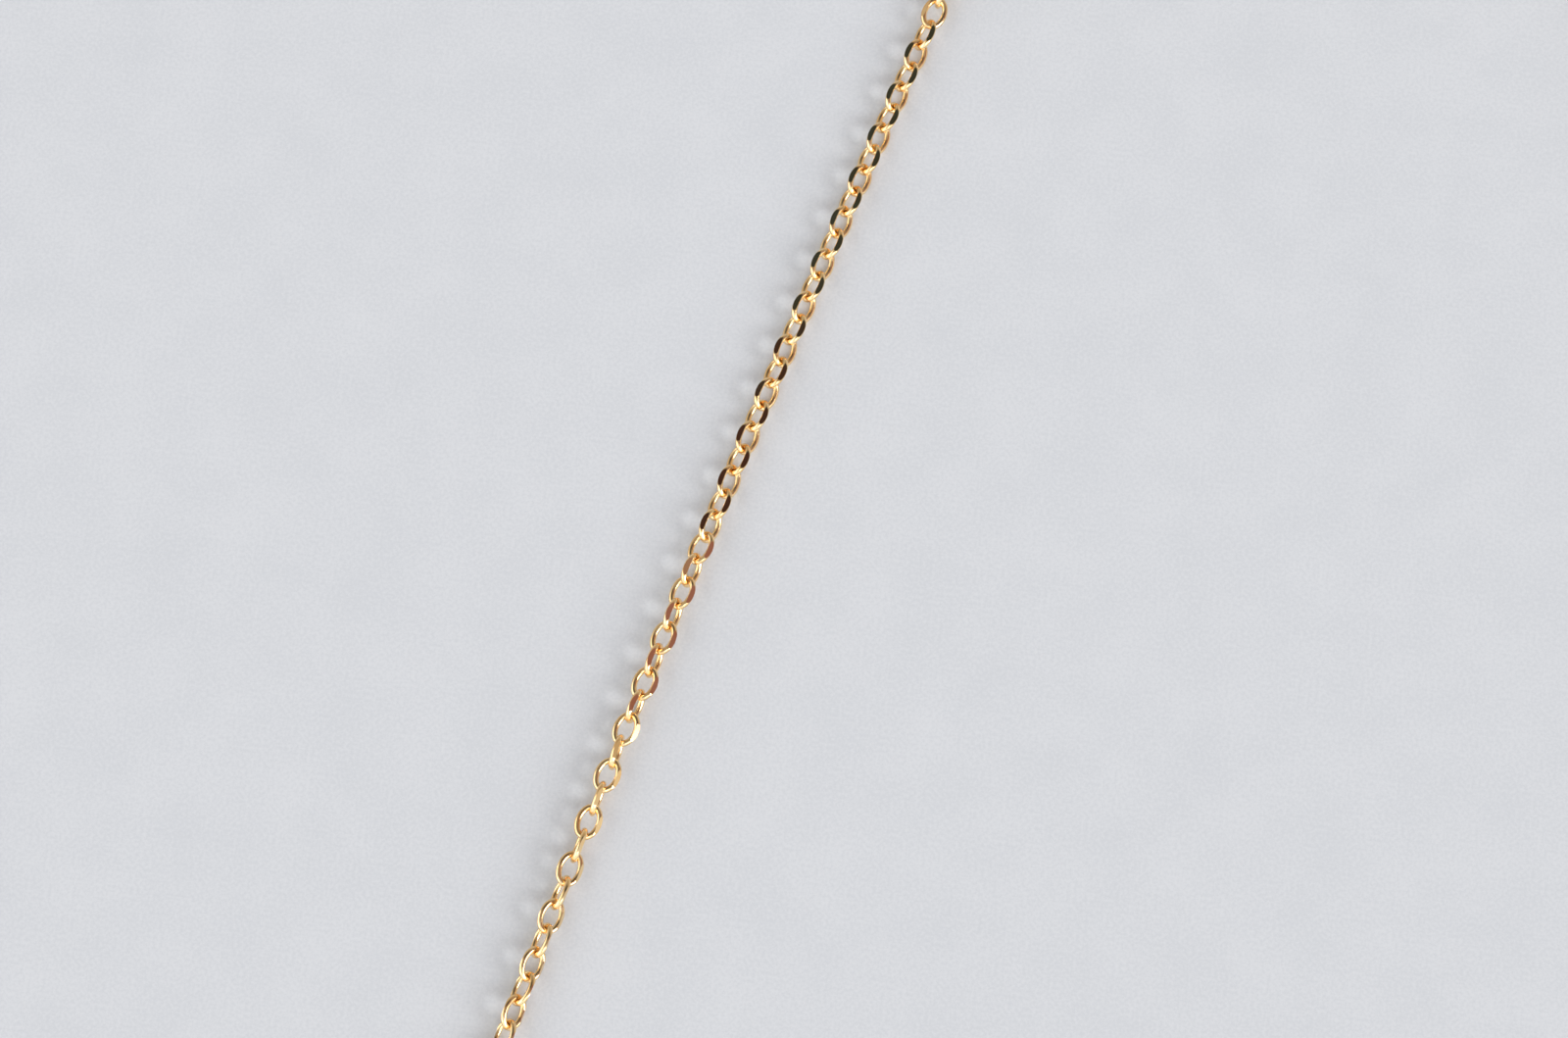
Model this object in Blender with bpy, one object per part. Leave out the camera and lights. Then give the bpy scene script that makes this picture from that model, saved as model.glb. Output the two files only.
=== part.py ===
"""Cable chain necklace, lying closed on a flat surface.

Fine diamond-cut cable chain: every link is an oval of round wire, each link stands a
quarter turn from the last, and the chain is cut flat above and below as it lies. The
loop is an egg of tangent arcs with its narrow end at +Y, where the clasp is. The stretch
from the clasp down the left side is built link by link, and the rest of the way round is
a plain tube of the chain's width. Metres, +Z up.
"""

import math

import bmesh
import bpy
import numpy as np

# Chain
NECKLACE_LENGTH = 0.457        # all the way round, clasp included
LINK_PITCH = 0.00140           # from one link's middle to the next
LINK_WIRE = 0.00034            # round wire, before the cut
LINK_WIDTH = 0.00149           # across a link, before the cut
CUT_DEPTH = 0.25 * LINK_WIRE   # taken off the wire by each flat, at its middle
CROWN_BITE = 0.00005           # how far neighbouring links run into each other
LINK_SECTIONS = 12             # round the link
WIRE_CORNERS = 6
MODELLED_LINKS = 68            # counted from the clasp

# Loop, as tangent arcs
FRONT_RADIUS = 0.048
BACK_RADIUS = 0.021
FLANK_RADIUS = 1.14

# Roll of the even links' width above level, in degrees, by link counted from the clasp
ROLL_BY_LINK = (
    (14, 135), (16, 92), (18, 52), (20, 45), (40, 45), (42, 29), (45, 21), (49, 16),
    (51, 5), (54, -3), (56, -20), (58, -32), (61, -45),
)

# Jump rings
RING_WIRE = 0.00036
RING_RADIUS = 0.0012           # to the middle of the wire
RING_LEAN = math.radians(38)   # of the ring's plane above level
RING_GAP = 0.00008             # from the ring's inside to what lies in it

# Clasp
CLASP_LENGTH = 0.0090
CLASP_WIDTH = 0.0044
CLASP_THICKNESS = 0.0018       # over the flat middle
CLASP_END_THICKNESS = 0.0005   # at the two end bars
CLASP_BAR = 0.0006             # width of the end bars
CLASP_FLAT = 0.0016            # half length of the full-thickness middle
CLASP_TAPER = 0.0019
CLASP_CHAMFER = 0.00012
CLAW_GAP_LENGTH = 0.0048
CLAW_GAP_WIDTH = 0.0026
CLAW_GAP_OFFSET = 0.0001       # the gate side is thinner than the back
EYE_HOLE = 0.00072             # radius
EYE_LAP = 0.00006              # from the eye's hole to the claw's tail

# Tube that stands for the rest of the chain
TUBE_POINTS = 80
TUBE_GAP = 0.00015

LINK_END = (LINK_PITCH + LINK_WIRE - CROWN_BITE) / 2   # link's middle to its crown's wire
LINK_SIDE = (LINK_WIDTH - LINK_WIRE) / 2               # link's middle to its side's wire
CHAIN_HALF_WIDTH = LINK_SIDE / math.sqrt(2) + LINK_WIRE / 2   # of the chain before the cut
CUT_HEIGHT = CHAIN_HALF_WIDTH - CUT_DEPTH              # chain's middle to a cut plane
FLAT_HALF_ANGLE = math.acos(1 - 2 * CUT_DEPTH / LINK_WIRE)   # round the wire
RING_HEIGHT = RING_RADIUS * math.sin(RING_LEAN) + RING_WIRE / 2


def link_mesh(lean):
    """One link about its middle: (sections, corners, 3) as along, width, depth.

    Round wire carried round an ellipse, square to it. What would stand past the two cut
    planes is pressed back to them. They lie half way between the width and the depth, on
    the other side of the width where lean is -1 and not 1.
    """
    turn = 2 * math.pi * np.arange(LINK_SECTIONS)[:, None] / LINK_SECTIONS
    corner = math.pi / 4 + 2 * math.pi * np.arange(WIRE_CORNERS) / WIRE_CORNERS
    outward = LINK_WIRE / 2 * np.cos(corner)
    away = np.stack([LINK_SIDE * np.cos(turn), LINK_END * np.sin(turn)])
    away = away / np.hypot(*away)
    along = LINK_END * np.cos(turn) + outward * away[0]
    width = LINK_SIDE * np.sin(turn) + outward * away[1]
    depth = LINK_WIRE / 2 * np.sin(corner) + 0 * turn
    height = (width + depth) / math.sqrt(2)
    excess = (height - np.clip(height, -CUT_HEIGHT, CUT_HEIGHT)) / math.sqrt(2)
    return np.stack([along, width - excess, lean * (depth - excess)], axis=-1)


def roll_of(link):
    """Roll of a link's width above level, each link a quarter turn from the last."""
    links, rolls = zip(*ROLL_BY_LINK)
    return np.radians(np.interp(link, links, rolls) + 90.0 * (np.asarray(link) % 2))


def lay_height(link):
    """Height of the chain's middle where the links' lowest points touch the surface.

    A wire's lowest point is straight below its middle, or on the edge of its flat where
    the cut has taken that point away.
    """
    tilt = abs((roll_of(link) + (1 - 2 * (link % 2)) * math.pi / 4) % math.pi - math.pi / 2)
    past_edge = max(FLAT_HALF_ANGLE - tilt, 0.0)
    return LINK_SIDE * math.cos(tilt - math.pi / 4) + LINK_WIRE / 2 * math.cos(past_edge)


def ring_fall(height):
    """Distance down the leaning ring, from its middle to a height above the surface."""
    return (RING_HEIGHT - height) / math.sin(RING_LEAN)


def ring_reach(height, half_height, half_width):
    """How far along the loop a bar's middle can lie from a ring's middle, inside the ring."""
    free = RING_RADIUS - RING_WIRE / 2 - RING_GAP
    fall = abs(ring_fall(height)) + half_height / math.sin(RING_LEAN)
    return math.sqrt(free**2 - fall**2) - half_width


RING_TO_LINK = ring_reach(lay_height(0), LINK_WIRE / 2, LINK_WIRE / 2)
RING_TO_BAR = ring_reach(CLASP_THICKNESS / 2, CLASP_END_THICKNESS / 2, CLASP_BAR / 2)
RING_TO_CLASP_MIDDLE = RING_TO_BAR + (CLASP_LENGTH - CLASP_BAR) / 2
CHAIN_END = RING_TO_CLASP_MIDDLE + RING_TO_LINK   # clasp's middle to the last crown's middle


def egg_arcs(centre_distance):
    """Arcs of the loop from one chain end to the other, anticlockwise.

    Each row is centre x, centre y, radius, first angle, last angle. The flank circles touch
    the front and the back circle from outside, which fixes their centres.
    """
    to_front = FLANK_RADIUS - FRONT_RADIUS
    to_back = FLANK_RADIUS - BACK_RADIUS
    flank_y = (centre_distance**2 + to_front**2 - to_back**2) / (2 * centre_distance)
    flank_x = math.sqrt(to_front**2 - flank_y**2)
    back_turn = math.atan2(centre_distance - flank_y, -flank_x)
    front_turn = math.atan2(-flank_y, -flank_x) % (2 * math.pi)
    start = math.pi / 2 + math.asin(CHAIN_END / BACK_RADIUS)
    mirror = 3 * math.pi
    return (
        (0.0, centre_distance, BACK_RADIUS, start, back_turn),
        (flank_x, flank_y, FLANK_RADIUS, back_turn, front_turn),
        (0.0, 0.0, FRONT_RADIUS, front_turn, mirror - front_turn),
        (-flank_x, flank_y, FLANK_RADIUS, mirror - front_turn, mirror - back_turn),
        (0.0, centre_distance, BACK_RADIUS, mirror - back_turn, mirror - start),
    )


def arcs_length(arcs):
    return sum(radius * (last - first) for _, _, radius, first, last in arcs)


def fitted_arcs(length):
    """Arcs whose length is the chain's, by halving the range of the centre distance."""
    low, high = FRONT_RADIUS, NECKLACE_LENGTH / 2
    for _ in range(60):
        middle = (low + high) / 2
        if arcs_length(egg_arcs(middle)) < length:
            low = middle
        else:
            high = middle
    return egg_arcs(high)


PITCHES = (NECKLACE_LENGTH - 2 * CHAIN_END - 2 * LINK_END) / LINK_PITCH
LINK_COUNT = 2 * round(PITCHES / 2) + 1   # odd, so that both end links lie alike
CHAIN_LENGTH = 2 * LINK_END + (LINK_COUNT - 1) * LINK_PITCH
ARCS = fitted_arcs(CHAIN_LENGTH)
CHAIN_END_Y = ARCS[0][1] + math.sqrt(BACK_RADIUS**2 - CHAIN_END**2)
RING_Y = CHAIN_END_Y - ring_fall(lay_height(0)) * math.cos(RING_LEAN)
CLASP_Y = RING_Y + ring_fall(CLASP_THICKNESS / 2) * math.cos(RING_LEAN)
LOOP_FRONT = -FRONT_RADIUS - CHAIN_HALF_WIDTH
LOOP_BACK = CLASP_Y + CLASP_WIDTH / 2
MIDDLE_Y = (LOOP_FRONT + LOOP_BACK) / 2


def route(distance):
    """Place (x, y) and heading angle of the chain at a distance from its first crown."""
    for x, y, radius, first, last in ARCS:
        if distance <= radius * (last - first) or last == ARCS[-1][4]:
            angle = first + distance / radius
            spot = (x + radius * math.cos(angle), y + radius * math.sin(angle) - MIDDLE_Y)
            return spot, angle + math.pi / 2
        distance -= radius * (last - first)


def placed_link(link, shape):
    """The link's points at its own place, heading and roll on the surface."""
    (x, y), heading = route(LINK_END + link * LINK_PITCH)
    roll = roll_of(link)
    along = np.array([math.cos(heading), math.sin(heading), 0.0])
    level = np.array([-math.sin(heading), math.cos(heading), 0.0])
    upright = np.array([0.0, 0.0, 1.0])
    width = level * math.cos(roll) + upright * math.sin(roll)
    depth = upright * math.cos(roll) - level * math.sin(roll)
    middle = np.array([x, y, lay_height(link)])
    return middle + shape[..., :1] * along + shape[..., 1:2] * width + shape[..., 2:] * depth


def closed_rings(name, rings):
    """Object from an array (rings, sections, corners, 3), each ring closed both ways."""
    count, sections, corners, _ = rings.shape
    index = np.arange(count * sections * corners).reshape(count, sections, corners)
    following = np.roll(index, -1, axis=1)
    faces = np.stack(
        [index, following, np.roll(following, -1, axis=2), np.roll(index, -1, axis=2)], axis=-1
    )
    mesh = bpy.data.meshes.new(name)
    mesh.from_pydata(rings.reshape(-1, 3).tolist(), [], faces.reshape(-1, 4).tolist())
    shape = bmesh.new()
    shape.from_mesh(mesh)
    bmesh.ops.recalc_face_normals(shape, faces=shape.faces)
    shape.to_mesh(mesh)
    shape.free()
    piece = bpy.data.objects.new(name, mesh)
    bpy.context.collection.objects.link(piece)
    return piece


def smooth(piece):
    piece.data.shade_smooth()
    piece.data.set_sharp_from_angle(angle=math.radians(50))


def joined(piece, guide):
    """Joins a hidden guide to a piece by a union that stays as a modifier."""
    guide.hide_render = True
    guide.display_type = "WIRE"
    union = piece.modifiers.new("join", "BOOLEAN")
    union.operation = "UNION"
    union.solver = "EXACT"
    union.object = guide


def gold(name, colour, roughness):
    material = bpy.data.materials.new(name)
    material.use_nodes = True
    shader = material.node_tree.nodes["Principled BSDF"]
    shader.inputs["Base Color"].default_value = (*colour, 1.0)
    shader.inputs["Metallic"].default_value = 1.0
    shader.inputs["Roughness"].default_value = roughness
    return material


def chain_links():
    """The stretch by the clasp, link by link, every other link in one of two meshes."""
    even = [placed_link(link, link_mesh(1)) for link in range(0, MODELLED_LINKS, 2)]
    odd = [placed_link(link, link_mesh(-1)) for link in range(1, MODELLED_LINKS, 2)]
    chain = closed_rings("chain_front", np.array(even))
    guide = closed_rings("chain_front_odd_links", np.array(odd))
    joined(chain, guide)
    return chain


def chain_tube():
    """The rest of the chain as a round tube, from the last modelled link to the far ring."""
    modelled = 2 * LINK_END + (MODELLED_LINKS - 1) * LINK_PITCH
    first = modelled + LINK_WIRE / 2 + TUBE_GAP
    last = CHAIN_LENGTH + RING_TO_LINK - RING_RADIUS - RING_WIRE / 2 - TUBE_GAP
    curve = bpy.data.curves.new("chain_back", "CURVE")
    curve.dimensions = "3D"
    curve.bevel_depth = CHAIN_HALF_WIDTH
    curve.bevel_resolution = 2
    curve.use_fill_caps = True
    spline = curve.splines.new("POLY")
    spline.points.add(TUBE_POINTS - 1)
    for point, distance in zip(spline.points, np.linspace(first, last, TUBE_POINTS)):
        (x, y), _ = route(distance)
        point.co = (x, y, CHAIN_HALF_WIDTH, 1.0)
    tube = bpy.data.objects.new("chain_back", curve)
    bpy.context.collection.objects.link(tube)
    return tube


def jump_ring(name, side):
    """Round wire ring, leaning over as it lies between the last link and the clasp."""
    bpy.ops.mesh.primitive_torus_add(
        major_segments=16, minor_segments=8,
        major_radius=RING_RADIUS, minor_radius=RING_WIRE / 2,
        location=(side * RING_TO_CLASP_MIDDLE, RING_Y - MIDDLE_Y, RING_HEIGHT),
        rotation=(math.pi - RING_LEAN, 0.0, 0.0),
    )
    ring = bpy.context.object
    ring.name = name
    smooth(ring)
    return ring


def half_thickness(along):
    """Clasp's half thickness: full over its flat middle, eased down to the end bars."""
    share = np.clip((abs(along) - CLASP_FLAT) / CLASP_TAPER, 0.0, 1.0)
    ease = share * share * (3 - 2 * share)
    return (CLASP_THICKNESS + (CLASP_END_THICKNESS - CLASP_THICKNESS) * ease) / 2


def plate_ring(name, outer, inner, steps):
    """Flat ring between two ovals (middle x, middle y, half length, half width), chamfered.

    Its section has eight corners: down the outer wall, then up the inner one. A face corner
    is inset on the top or the bottom, and a wall corner is a chamfer short of it.
    """
    turn = 2 * math.pi * np.arange(steps) / steps
    down, up = (1, 1, -1, -1), (-1, -1, 1, 1)
    insets = (1, 0, 0, 1)
    outer_wall = [(outer, -CLASP_CHAMFER * inset, face) for inset, face in zip(insets, down)]
    inner_wall = [(inner, CLASP_CHAMFER * inset, face) for inset, face in zip(insets, up)]
    corners = []
    for oval, inset, face in outer_wall + inner_wall:
        x = oval[0] + (oval[2] + inset) * np.cos(turn)
        y = oval[1] + (oval[3] + inset) * np.sin(turn)
        drop = 0.0 if inset else CLASP_CHAMFER
        corners.append(np.stack([x, y, face * (half_thickness(x) - drop)], axis=1))
    return closed_rings(name, np.stack(corners, axis=1)[None])


def clasp():
    """Claw clasp lying on its flat side: an oval claw and the eye at its tail, one piece."""
    half = CLASP_LENGTH / 2
    gap_end = half - CLASP_BAR
    claw_tail = -half + 2 * EYE_HOLE + CLASP_BAR + EYE_LAP
    claw = plate_ring(
        "clasp",
        ((half + claw_tail) / 2, 0.0, (half - claw_tail) / 2, CLASP_WIDTH / 2),
        (gap_end - CLAW_GAP_LENGTH / 2, CLAW_GAP_OFFSET, CLAW_GAP_LENGTH / 2, CLAW_GAP_WIDTH / 2),
        28,
    )
    eye_radius = EYE_HOLE + CLASP_BAR
    eye_middle = eye_radius - half
    eye = plate_ring(
        "clasp_eye",
        (eye_middle, 0.0, eye_radius, eye_radius),
        (eye_middle, 0.0, EYE_HOLE, EYE_HOLE),
        18,
    )
    joined(claw, eye)
    for piece in (claw, eye):
        piece.location = (0.0, CLASP_Y - MIDDLE_Y, CLASP_THICKNESS / 2)
        smooth(piece)
    return claw


def main():
    for thing in list(bpy.data.objects):
        bpy.data.objects.remove(thing, do_unlink=True)
    chain_gold = gold("chain_gold", (0.80, 0.56, 0.24), 0.16)
    clasp_gold = gold("clasp_gold", (0.80, 0.56, 0.24), 0.22)
    chain_links().data.materials.append(chain_gold)
    chain_tube().data.materials.append(chain_gold)
    for name, side in (("jump_ring_left", -1), ("jump_ring_right", 1)):
        jump_ring(name, side).data.materials.append(clasp_gold)
    clasp().data.materials.append(clasp_gold)


main()
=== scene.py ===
import math

import bpy
import numpy as np
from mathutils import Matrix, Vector


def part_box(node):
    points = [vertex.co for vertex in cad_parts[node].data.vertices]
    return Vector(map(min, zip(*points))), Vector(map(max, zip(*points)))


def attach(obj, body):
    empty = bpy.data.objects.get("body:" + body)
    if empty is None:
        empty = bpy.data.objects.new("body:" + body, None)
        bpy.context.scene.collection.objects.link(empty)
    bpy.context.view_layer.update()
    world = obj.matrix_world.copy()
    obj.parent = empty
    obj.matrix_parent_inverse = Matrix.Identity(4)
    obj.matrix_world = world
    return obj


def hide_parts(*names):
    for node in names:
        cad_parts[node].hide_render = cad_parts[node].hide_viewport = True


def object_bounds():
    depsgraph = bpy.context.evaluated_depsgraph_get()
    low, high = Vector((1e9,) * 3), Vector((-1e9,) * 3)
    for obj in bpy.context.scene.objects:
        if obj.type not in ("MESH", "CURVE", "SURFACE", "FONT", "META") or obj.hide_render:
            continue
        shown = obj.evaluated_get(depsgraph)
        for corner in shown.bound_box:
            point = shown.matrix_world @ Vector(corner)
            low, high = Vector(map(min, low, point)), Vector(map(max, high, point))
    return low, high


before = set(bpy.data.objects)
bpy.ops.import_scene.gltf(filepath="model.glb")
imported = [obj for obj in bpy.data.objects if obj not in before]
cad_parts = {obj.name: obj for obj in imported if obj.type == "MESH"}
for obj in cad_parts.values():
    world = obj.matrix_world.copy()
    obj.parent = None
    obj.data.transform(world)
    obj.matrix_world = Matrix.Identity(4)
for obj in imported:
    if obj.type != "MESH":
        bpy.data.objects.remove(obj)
cad_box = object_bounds()


# The cable chain.
# Fine round gold wire bent to small ovals, each passed through the last a quarter turn
# round and soldered shut. The whole chain was then cut flat and bright above and below.
LINK_COUNT = 319
WIRE = 0.00034                # round wire, before the cut
LINK_SIDE = 0.000575          # link's middle to the middle of its side's wire
CUT_DEPTH = 0.25 * WIRE       # taken off the wire by each cut, at its middle
CUT_HEIGHT = LINK_SIDE / math.sqrt(2) + WIRE / 2 - CUT_DEPTH   # chain's middle to a cut plane
FLAT_HALF_ANGLE = math.acos(1 - 2 * CUT_DEPTH / WIRE)          # round the wire
MODELLED_LINKS = 68           # links of the CAD's linked stretch, counted from the clasp

FRONT_RADIUS = 0.048
BACK_RADIUS = 0.021
FLANK_RADIUS = 1.14
CHAIN_END = 0.0050            # clasp's middle to the middle of the last link's crown
RING_LEAN = math.radians(38)

# Roll of the even links' width above level, in degrees, by link counted from the clasp
ROLL_BY_LINK = (
    (14, 135), (16, 92), (18, 52), (20, 45), (40, 45), (42, 29), (45, 21), (49, 16),
    (51, 5), (54, -3), (56, -20), (58, -32), (61, -45),
)
SPLAY = 5.0                   # degrees by which each link lies flatter than the cut shows
HAND_ROLL = 1.2               # degrees by which a link's roll strays
HAND_YAW = 1.5                # degrees by which a link's heading strays
NARROW_FLAT = 0.15            # half angle of the flat's columns where nothing is cut, radians
CROWN_START = 0.8             # share of the wire's turn to the side from which crowns ease in


def lay_height(chain_roll):
    """Height of the chain's middle above the paper, from the roll of its even links: side *
    cosine of the nearest wire's angle from straight down + wire's radius * cosine of the
    angle from straight down to its flat's edge, or to its own lowest point."""
    tilt = np.abs((chain_roll + math.pi / 4) % math.pi - math.pi / 2)
    past_edge = np.maximum(FLAT_HALF_ANGLE - tilt, 0)
    return LINK_SIDE * np.cos(tilt - math.pi / 4) + WIRE / 2 * np.cos(past_edge)


def middle_of(node):
    """Middle of a solid's box."""
    low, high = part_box(node)
    return (low + high) / 2


def loop_arcs():
    """Arcs of the loop as rows of centre x, centre y, radius, first and last angle.

    The front circle's middle is a radius behind the loop's front, the back circle's is found
    from the chain's end at the ring, and each flank circle touches both from outside.
    """
    chain_height = float(lay_height(math.radians(-45)))   # also its half width before the cut
    front_y = cad_box[0].y + FRONT_RADIUS + chain_height
    ring = middle_of("jump_ring_right")
    end_y = ring.y + (ring.z - chain_height) / math.tan(RING_LEAN)
    back_y = end_y - math.sqrt(BACK_RADIUS**2 - CHAIN_END**2)
    apart = back_y - front_y
    to_front = FLANK_RADIUS - FRONT_RADIUS
    to_back = FLANK_RADIUS - BACK_RADIUS
    flank_y = (apart**2 + to_front**2 - to_back**2) / (2 * apart)
    flank_x = math.sqrt(to_front**2 - flank_y**2)
    back_turn = math.atan2(apart - flank_y, -flank_x)
    front_turn = math.atan2(-flank_y, -flank_x) % (2 * math.pi)
    start = math.pi / 2 + math.asin(CHAIN_END / BACK_RADIUS)
    mirror = 3 * math.pi
    flank_y += front_y
    return np.array([
        (0.0, back_y, BACK_RADIUS, start, back_turn),
        (flank_x, flank_y, FLANK_RADIUS, back_turn, front_turn),
        (0.0, front_y, FRONT_RADIUS, front_turn, mirror - front_turn),
        (-flank_x, flank_y, FLANK_RADIUS, mirror - front_turn, mirror - back_turn),
        (0.0, back_y, BACK_RADIUS, mirror - back_turn, mirror - start),
    ])


ARCS = loop_arcs()
ARC_LENGTHS = ARCS[:, 2] * (ARCS[:, 4] - ARCS[:, 3])
CHAIN_LENGTH = ARC_LENGTHS.sum()


def solved_pitch():
    """Pitch at which neighbouring crowns just touch and the links fill the chain's length."""
    return (CHAIN_LENGTH - WIRE) / LINK_COUNT


PITCH = solved_pitch()
LINK_END = (PITCH + WIRE) / 2     # link's middle to its crown's wire


def route(distance):
    """Place and heading along the loop: the arc that holds the distance, and the angle
    that the rest of the distance is of its circle."""
    ends = np.cumsum(ARC_LENGTHS)
    arc = np.searchsorted(ends[:-1], distance)
    x, y, radius, first, _ = ARCS[arc].T
    angle = first + (distance - ends[arc] + ARC_LENGTHS[arc]) / radius
    place = np.stack([x + radius * np.cos(angle), y + radius * np.sin(angle)], -1)
    return place, angle + math.pi / 2


def link_surface(sections, flat_steps, round_steps, lean):
    """Round wire carried round an oval, square to it, with what stands past the two cut
    planes pressed back to them. The planes' normal leans half a right angle from the link's
    width, to the side of its depth that lean (1 or -1) gives.

    Around the wire the first columns span the flat. Its middle angle is the arc tangent of
    the normal's two parts in the section, and its half angle the arc cosine of (plane - wire's
    middle) / (wire's radius * the parts' length). Towards the crown the columns ease to even
    steps. Gives (sections, columns, 3), each point as along, width and depth.
    """
    radius = WIRE / 2
    turn = np.linspace(0, 2 * math.pi, sections, endpoint=False)[:, None]
    away_along, away_wide = LINK_SIDE * np.cos(turn), LINK_END * np.sin(turn)
    size = np.hypot(away_along, away_wide)
    away_along, away_wide = away_along / size, away_wide / size
    side = np.where(away_wide < 0, -1, 1)
    facing = np.hypot(away_wide, 1) / math.sqrt(2)
    middle_height = LINK_SIDE * np.sin(turn) / math.sqrt(2)
    flat = np.arccos(np.clip((CUT_HEIGHT - np.abs(middle_height)) / (radius * facing), -1, 1))
    ease = np.clip(np.abs(away_wide) / CROWN_START, 0, 1) ** 2
    even = math.pi * flat_steps / (flat_steps + round_steps)
    flat = np.maximum(flat, NARROW_FLAT + (even - NARROW_FLAT) * (1 - ease))
    flat_middle = side * lean * np.arctan2(1, np.abs(away_wide)) * ease
    flat_share = np.linspace(-1, 1, flat_steps + 1)[:-1]
    round_share = np.linspace(0, 1, round_steps + 1)[:-1]
    around = np.hstack([flat * flat_share, flat + (2 * math.pi - 2 * flat) * round_share])
    around = around + flat_middle
    out = radius * np.cos(around)
    along = LINK_END * np.cos(turn) + out * away_along
    width = LINK_SIDE * np.sin(turn) + out * away_wide
    depth = radius * np.sin(around)
    height = (width + lean * depth) / math.sqrt(2)
    excess = (height - np.clip(height, -CUT_HEIGHT, CUT_HEIGHT)) / math.sqrt(2)
    return np.stack([along, width - excess, depth - lean * excess], -1)


def laid(links, shapes):
    """Each link's points at its own place: middle + along * heading + width * rolled level
    direction + depth * the direction square to both. Even links take the first shape and
    odd ones the second, a quarter turn on. Rolls and headings stray a little."""
    place, heading = route(LINK_END + links * PITCH)
    stray = np.random.default_rng(7).normal(size=(LINK_COUNT, 2))[links]
    numbers, rolls = zip(*ROLL_BY_LINK)
    chain_roll = np.interp(links, numbers, rolls)
    height = lay_height(np.radians(chain_roll))
    flatter = SPLAY * np.sin(np.radians(2 * chain_roll))
    roll = chain_roll - flatter + (links % 2) * (90 + 2 * flatter)
    roll = np.radians(roll + HAND_ROLL * stray[:, 0])
    heading = heading + np.radians(HAND_YAW) * stray[:, 1]
    zero = 0 * heading
    along = np.stack([np.cos(heading), np.sin(heading), zero], -1)
    level = np.stack([-np.sin(heading), np.cos(heading), zero], -1)
    up = np.array([0.0, 0.0, 1.0])
    sine, cosine = np.sin(roll)[:, None], np.cos(roll)[:, None]
    axes = np.stack([along, level * cosine + up * sine, up * cosine - level * sine], 1)
    middle = np.concatenate([place, height[:, None]], -1)
    return middle[:, None, None] + np.einsum("nscj,njk->nsck", np.array(shapes)[links % 2], axes)


def closed_grids(name, grids):
    """Mesh from an array (grids, sections, columns, 3), each grid closed both ways, with a UV
    map of the section and column numbers."""
    count, sections, columns, _ = grids.shape
    index = np.arange(count * sections * columns).reshape(count, sections, columns)
    ahead = np.roll(index, -1, axis=1)
    faces = np.stack([index, ahead, np.roll(ahead, -1, axis=2), np.roll(index, -1, axis=2)], -1)
    faces = faces.reshape(-1, 4)
    mesh = bpy.data.meshes.new(name)
    mesh.vertices.add(index.size)
    mesh.vertices.foreach_set("co", grids.astype(np.float32).ravel())
    mesh.loops.add(faces.size)
    mesh.loops.foreach_set("vertex_index", faces.astype(np.int32).ravel())
    mesh.polygons.add(len(faces))
    mesh.polygons.foreach_set("loop_start", np.arange(0, faces.size, 4, dtype=np.int32))
    mesh.update(calc_edges=True)
    row, column = np.meshgrid(np.arange(sections), np.arange(columns), indexing="ij")
    corner_row = np.stack([row, row + 1, row + 1, row], -1)
    corner_column = np.stack([column, column, column + 1, column + 1], -1)
    corners = np.stack([corner_row, corner_column], -1).reshape(-1)
    layer = mesh.uv_layers.new(name="along_and_around")
    layer.data.foreach_set("uv", np.tile(corners, count).astype(np.float32))
    piece = bpy.data.objects.new(name, mesh)
    bpy.context.scene.collection.objects.link(piece)
    return piece


def mark_faces(piece, name, values):
    """Stores one number a face, for the piece's material to read."""
    marks = piece.data.attributes.new(name, "FLOAT", "FACE")
    marks.data.foreach_set("value", values.astype(np.float32).ravel())


def shade(piece, crease):
    """Smooth shading, with edges sharper than the crease in degrees kept sharp."""
    piece.data.shade_smooth()
    piece.data.set_sharp_from_angle(angle=math.radians(crease))


class Field:
    """A number or colour over a surface. Arithmetic on it adds Math nodes."""

    def __init__(self, shading, socket):
        self.shading, self.socket = shading, socket

    def maths(self, operation, first, second):
        return self.shading.node("ShaderNodeMath", {"operation": operation}, {0: first, 1: second})

    def __add__(self, other):
        return self.maths("ADD", self, other)

    def __sub__(self, other):
        return self.maths("SUBTRACT", self, other)

    def __rsub__(self, other):
        return self.maths("SUBTRACT", other, self)

    def __mul__(self, other):
        return self.maths("MULTIPLY", self, other)

    __radd__, __rmul__ = __add__, __mul__


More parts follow.
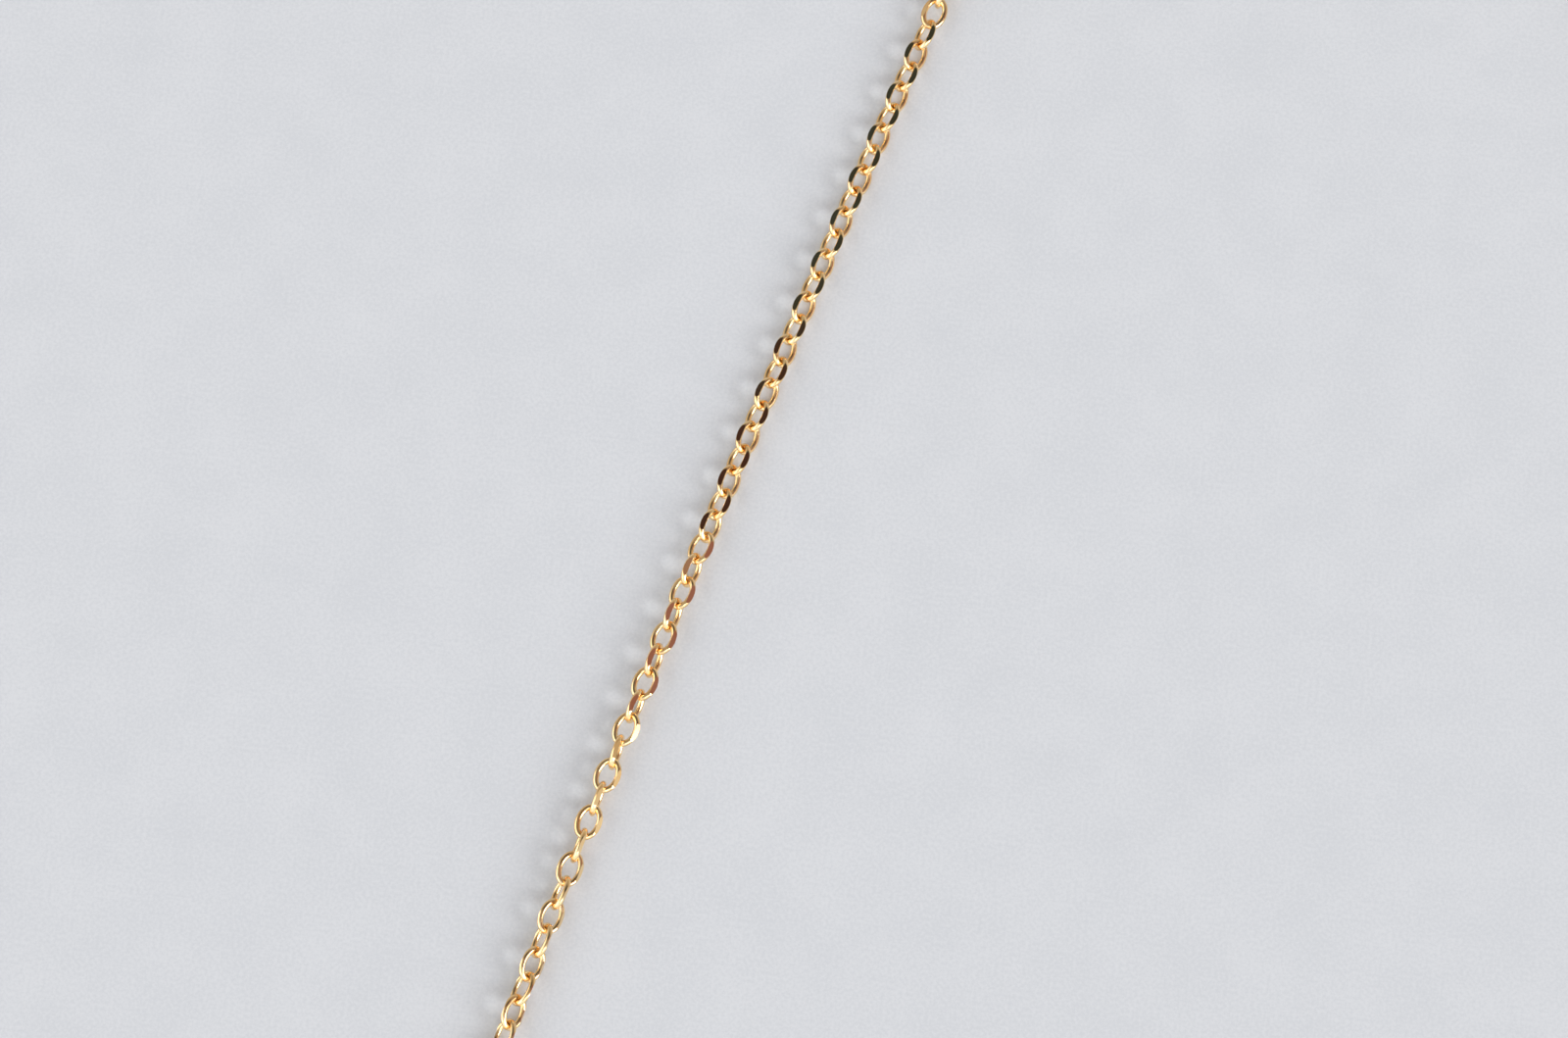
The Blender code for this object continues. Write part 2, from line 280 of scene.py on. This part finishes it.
class Shading:
    """Nodes of one material or of the sky."""

    def __init__(self, owner):
        owner.use_nodes = True
        self.tree = owner.node_tree

    def node(self, kind, settings=None, sockets=None, output=0):
        """Adds a node, with its settings first and then its sockets' values or links."""
        made = self.tree.nodes.new(kind)
        for key, value in (settings or {}).items():
            setattr(made, key, value)
        for key, value in (sockets or {}).items():
            self.feed(made.inputs[key], value)
        return Field(self, made.outputs[output])

    def feed(self, socket, value):
        if isinstance(value, Field):
            self.tree.links.new(value.socket, socket)
        else:
            socket.default_value = value

    def eased(self, value, low, high, start=0.0, end=1.0):
        """Eases from start to end as the value goes from low to high."""
        return self.node(
            "ShaderNodeMapRange", {"interpolation_type": "SMOOTHSTEP"},
            {"Value": value, "From Min": low, "From Max": high, "To Min": start, "To Max": end},
        )

    def blend(self, share, first, second):
        """Colour that goes from first to second with the share."""
        made = self.tree.nodes.new("ShaderNodeMix")
        made.data_type = "RGBA"
        colour_inputs = [s for s in made.inputs if s.type == "RGBA"]
        self.feed(made.inputs["Factor"], share)
        for socket, value in zip(colour_inputs, (first, second)):
            self.feed(socket, value if isinstance(value, Field) else (*value, 1.0))
        return Field(self, next(s for s in made.outputs if s.type == "RGBA"))

    def noise(self, where, scale, detail, roughness=0.5):
        """Soft noise with so many bumps a metre."""
        sockets = {"Vector": where, "Scale": scale, "Detail": detail, "Roughness": roughness}
        return self.node("ShaderNodeTexNoise", {}, sockets)


LINK_DRIFT, RUB_MARKS, DRAWN_LINES = 900.0, 5200.0, 26000.0     # of the gold, a metre


def gold_finish(name, pale, warm, rough, cut_rough):
    """Polished gold: the tone drifts from link to link, fine drawing lines and rubbed
    patches vary the roughness, and the cut flats are brighter and almost a mirror."""
    material = bpy.data.materials.new(name)
    gold = Shading(material)
    shader = gold.tree.nodes["Principled BSDF"]
    where = gold.node("ShaderNodeTexCoord", output="Object")
    cut = gold.node("ShaderNodeAttribute", {"attribute_name": "cut"}, output="Fac")
    tone = gold.noise(where, LINK_DRIFT, 2.0)
    rubbed = gold.noise(where, RUB_MARKS, 4.0, 0.6)
    drawn = gold.noise(where, DRAWN_LINES, 2.0)
    shader.inputs["Metallic"].default_value = 1.0
    gold.feed(shader.inputs["Base Color"], gold.blend(gold.eased(tone, 0.35, 0.65), pale, warm))
    round_rough = gold.eased(rubbed, 0.3, 0.7, rough * 0.7, rough * 1.5)
    gold.feed(shader.inputs["Roughness"], round_rough * (1 - cut) + cut * cut_rough)
    relief = (drawn * 0.6 + rubbed * 0.8) * (1 - cut * 0.8)
    sockets = {"Height": relief, "Strength": 0.25, "Distance": 0.000006}
    gold.feed(shader.inputs["Normal"], gold.node("ShaderNodeBump", {}, sockets, "Normal"))
    return material


CHAIN_PALE, CHAIN_WARM = (0.99, 0.735, 0.40), (0.97, 0.65, 0.31)
chain_gold = gold_finish("chain_gold", CHAIN_PALE, CHAIN_WARM, rough=0.14, cut_rough=0.06)


def chain_piece(name, first, last, sections, flat_steps, round_steps, crease):
    """A stretch of the chain, from one link to another, with its cut faces marked and flat."""
    shapes = [link_surface(sections, flat_steps, round_steps, lean) for lean in (1, -1)]
    links = np.arange(first, last)
    piece = closed_grids(name, laid(links, shapes))
    marks = []
    for shape, lean in zip(shapes, (1, -1)):
        height = np.abs(shape[..., 1] + lean * shape[..., 2]) / math.sqrt(2)
        pressed = height > CUT_HEIGHT * 0.99999
        pressed &= np.roll(pressed, -1, axis=0)
        marks.append(pressed & np.roll(pressed, -1, axis=1))
    cut = np.array(marks)[links % 2].ravel()
    mark_faces(piece, "cut", cut)
    shade(piece, crease)
    piece.data.polygons.foreach_set("use_smooth", ~cut)
    piece.data.materials.append(chain_gold)
    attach(piece, "root")
    return piece


linked = chain_piece(
    "chain_by_clasp", 0, MODELLED_LINKS, sections=48, flat_steps=4, round_steps=14, crease=26
)
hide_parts("chain_front")
rest = chain_piece(
    "chain_round_the_loop", MODELLED_LINKS, LINK_COUNT,
    sections=24, flat_steps=2, round_steps=6, crease=50,
)
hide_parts("chain_back")


# The jump rings.
# Two plain rings of round gold wire, sawn, closed and polished. Each lies leaning between
# the chain's last link and the clasp.
CLASP_PALE, CLASP_WARM = (0.94, 0.71, 0.40), (0.92, 0.65, 0.34)
clasp_gold = gold_finish("clasp_gold", CLASP_PALE, CLASP_WARM, rough=0.16, cut_rough=0.1)
RING_WIRE = 0.00036
RING_RADIUS = 0.0012
RING_SECTIONS, RING_CORNERS = 72, 24
RING_CREASE = 60


def jump_ring(name, node):
    """Circle of round wire: middle + (radius + wire cosine) outward + wire sine off the plane."""
    ring = np.array(middle_of(node))
    turn = np.linspace(0, 2 * math.pi, RING_SECTIONS, endpoint=False)[:, None]
    around = np.linspace(0, 2 * math.pi, RING_CORNERS, endpoint=False)[None]
    leaning = np.array([0.0, -math.cos(RING_LEAN), math.sin(RING_LEAN)])
    square = np.cross([1.0, 0.0, 0.0], leaning)
    out = RING_RADIUS + RING_WIRE / 2 * np.cos(around)
    grid = (
        ring
        + (out * np.cos(turn))[..., None] * np.array([1.0, 0.0, 0.0])
        + (out * np.sin(turn))[..., None] * leaning
        + (RING_WIRE / 2 * np.sin(around) + 0 * turn)[..., None] * square
    )
    piece = closed_grids(name, grid[None])
    shade(piece, RING_CREASE)
    piece.data.materials.append(clasp_gold)
    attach(piece, "root")
    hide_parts(node)


jump_ring("ring_at_eye", "jump_ring_left")
jump_ring("ring_at_claw", "jump_ring_right")


# The clasp.
# A small claw clasp of the same gold, cast and polished, with a ring through its eye and one
# in its claw. It lies outside the photo, so the solid's own mesh serves.
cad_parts["clasp"].data.materials.clear()
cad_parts["clasp"].data.materials.append(clasp_gold)


# The paper.
# A sheet of plain white writing paper, on which the necklace lies: matt, with a fine grain
# of fibres, a faint mottle and a few specks.
MOTTLE, FIBRES, SPECKS = 260.0, 5200.0, 48.0         # of the paper, a metre
SHADED, LIT, SPECK = (0.615, 0.642, 0.678), (0.675, 0.699, 0.732), (0.42, 0.40, 0.38)
PAPER_SIDE = 4.0
paper = bpy.data.materials.new("paper")
sheet = Shading(paper)
matt = sheet.tree.nodes["Principled BSDF"]
where = sheet.node("ShaderNodeTexCoord", output="Object")
mottle = sheet.noise(where, MOTTLE, 4.0, 0.55)
fibres = sheet.noise(where, FIBRES, 4.0, 0.65)
sockets = {"Vector": where, "Scale": SPECKS, "Randomness": 1.0}
from_speck = sheet.node("ShaderNodeTexVoronoi", {}, sockets)
grain = sheet.eased(mottle * 0.25 + fibres * 0.75, 0.36, 0.64)
tint = sheet.blend(sheet.eased(from_speck, 0.003, 0.006), SPECK, sheet.blend(grain, SHADED, LIT))
sheet.feed(matt.inputs["Base Color"], tint)
matt.inputs["Roughness"].default_value = 0.75
matt.inputs["Specular IOR Level"].default_value = 0.3
sockets = {"Height": fibres + mottle * 0.5, "Strength": 0.25, "Distance": 0.00004}
sheet.feed(matt.inputs["Normal"], sheet.node("ShaderNodeBump", {}, sockets, "Normal"))
corners = np.array([(-1, -1, 0), (1, -1, 0), (1, 1, 0), (-1, 1, 0)]) * PAPER_SIDE / 2
mesh = bpy.data.meshes.new("paper_sheet")
mesh.from_pydata(corners, [], [(0, 1, 2, 3)])
floor = bpy.data.objects.new("paper_sheet", mesh)
floor.data.materials.append(paper)
bpy.context.scene.collection.objects.link(floor)


# The camera.
# Close above the chain, from the side of the loop's wide front, with the middle of the
# seen stretch near the middle of the picture.
SEEN_MIDDLE_LINK = 40
CAMERA_TILT = math.radians(16.2)       # from straight down
CAMERA_TURN = math.radians(21.79)      # of the picture's up from the chain's line
CAMERA_DISTANCE = 0.2244
LENS, SENSOR = 60.0, 23.6              # mm
AIM_ASIDE, AIM_BACK = 0.00363, 0.00066   # aim from that link, across and along the chain

(link_x, link_y), heading = (v[0] for v in route(np.array([LINK_END + SEEN_MIDDLE_LINK * PITCH])))
down_chain = np.array([math.cos(heading), math.sin(heading), 0.0])
across_chain = np.array([-math.sin(heading), math.cos(heading), 0.0])
turn = heading + math.pi / 2 + CAMERA_TURN
picture_up = np.array([-math.sin(turn), math.cos(turn), 0.0])
back = -picture_up * math.sin(CAMERA_TILT) + np.array([0.0, 0.0, math.cos(CAMERA_TILT)])
aim = np.array([link_x, link_y, 0.0]) + across_chain * AIM_ASIDE - down_chain * AIM_BACK
camera = bpy.data.objects.new("camera", bpy.data.cameras.new("camera"))
camera.data.lens, camera.data.sensor_width = LENS, SENSOR
camera.data.clip_start, camera.data.clip_end = 0.01, 20.0
camera.location = aim + back * CAMERA_DISTANCE
camera.rotation_mode = "QUATERNION"
camera.rotation_quaternion = (-Vector(back)).to_track_quat("-Z", "Y")
bpy.context.scene.collection.objects.link(camera)
bpy.context.scene.camera = camera


# The light.
# A plain room: dim walls beyond the chain, a dark ceiling straight above it, which the cut
# flats mirror, a rust red piece of wall to the right, a bright wall on the viewer's side,
# and four soft lamps low around it.
LOW_WALL, HIGH_WALL = (0.58, 0.52, 0.45), (0.38, 0.35, 0.31)
BRIGHT_WALL, HIGH_BRIGHT = (1.20, 1.22, 1.26), (0.72, 0.75, 0.80)
NIGHT_CEILING, BROWN_CEILING = (0.040, 0.052, 0.058), (0.055, 0.030, 0.030)
RUST_WALL, BACKDROP = (0.30, 0.155, 0.165), (0.80, 0.82, 0.85)

# Cosines between which the room changes: walls and bright wall from low to high, bright wall
# from the side, ceiling from brown to nearly black, and the ceiling's near edge
WALL_RISE, BRIGHT_RISE, BRIGHT_EDGE = (0.2, 0.6), (0.45, 0.85), (0.10, 0.32)
CEILING_CHANGE, CEILING_EDGE = (0.288, 0.312), (0.17, 0.22)
CEILING_PATCH = (0, 66, 21)   # bearing from picture up, clockwise, and height; radius; degrees
RUST_PATCH = (93, 44, 22)
LAMPS = (                     # the same, and strength
    (158, 45, 14, 3.4),
    (117, 23, 14, 10.5),
    (-120, 34, 14, 3.4),
    (-88, 22, 28, 1.9),
)
world = bpy.data.worlds.new("room")
bpy.context.scene.world = world
sky = Shading(world)
direction = sky.node("ShaderNodeTexCoord", output="Generated")
picture_right = np.cross(picture_up, (0.0, 0.0, 1.0))


def facing(way):
    """Cosine between the looked-at direction and a way."""
    sockets = {0: direction, 1: tuple(float(v) for v in way)}
    return sky.node("ShaderNodeVectorMath", {"operation": "DOT_PRODUCT"}, sockets, "Value")


def patch(bearing, lift, radius):
    """Share that eases in over the edge of a round patch of the room."""
    bearing, lift = math.radians(bearing), math.radians(lift)
    level = picture_up * math.cos(bearing) + picture_right * math.sin(bearing)
    way = level * math.cos(lift) + np.array([0.0, 0.0, math.sin(lift)])
    edge, core = math.cos(math.radians(radius * 1.2)), math.cos(math.radians(radius * 0.8))
    return sky.eased(facing(way), edge, core)


height = facing((0, 0, 1))
up_chain = facing(-down_chain)
ceiling = sky.blend(sky.eased(up_chain, *CEILING_CHANGE), BROWN_CEILING, NIGHT_CEILING)
room = sky.blend(sky.eased(height, *WALL_RISE), LOW_WALL, HIGH_WALL)
bright = sky.blend(sky.eased(height, *BRIGHT_RISE), BRIGHT_WALL, HIGH_BRIGHT)
room = sky.blend(sky.eased(facing(-picture_up), *BRIGHT_EDGE), room, bright)
room = sky.blend(patch(*RUST_PATCH), room, RUST_WALL)
room = sky.blend(patch(*CEILING_PATCH) * sky.eased(up_chain, *CEILING_EDGE), room, ceiling)
for bearing, lift, radius, strength in LAMPS:
    room = sky.blend(patch(bearing, lift, radius), room, (strength,) * 3)
seen = sky.node("ShaderNodeLightPath", output="Is Camera Ray")
sky.feed(sky.tree.nodes["Background"].inputs["Color"], sky.blend(seen, room, BACKDROP))
bpy.context.scene.view_settings.view_transform = "Standard"
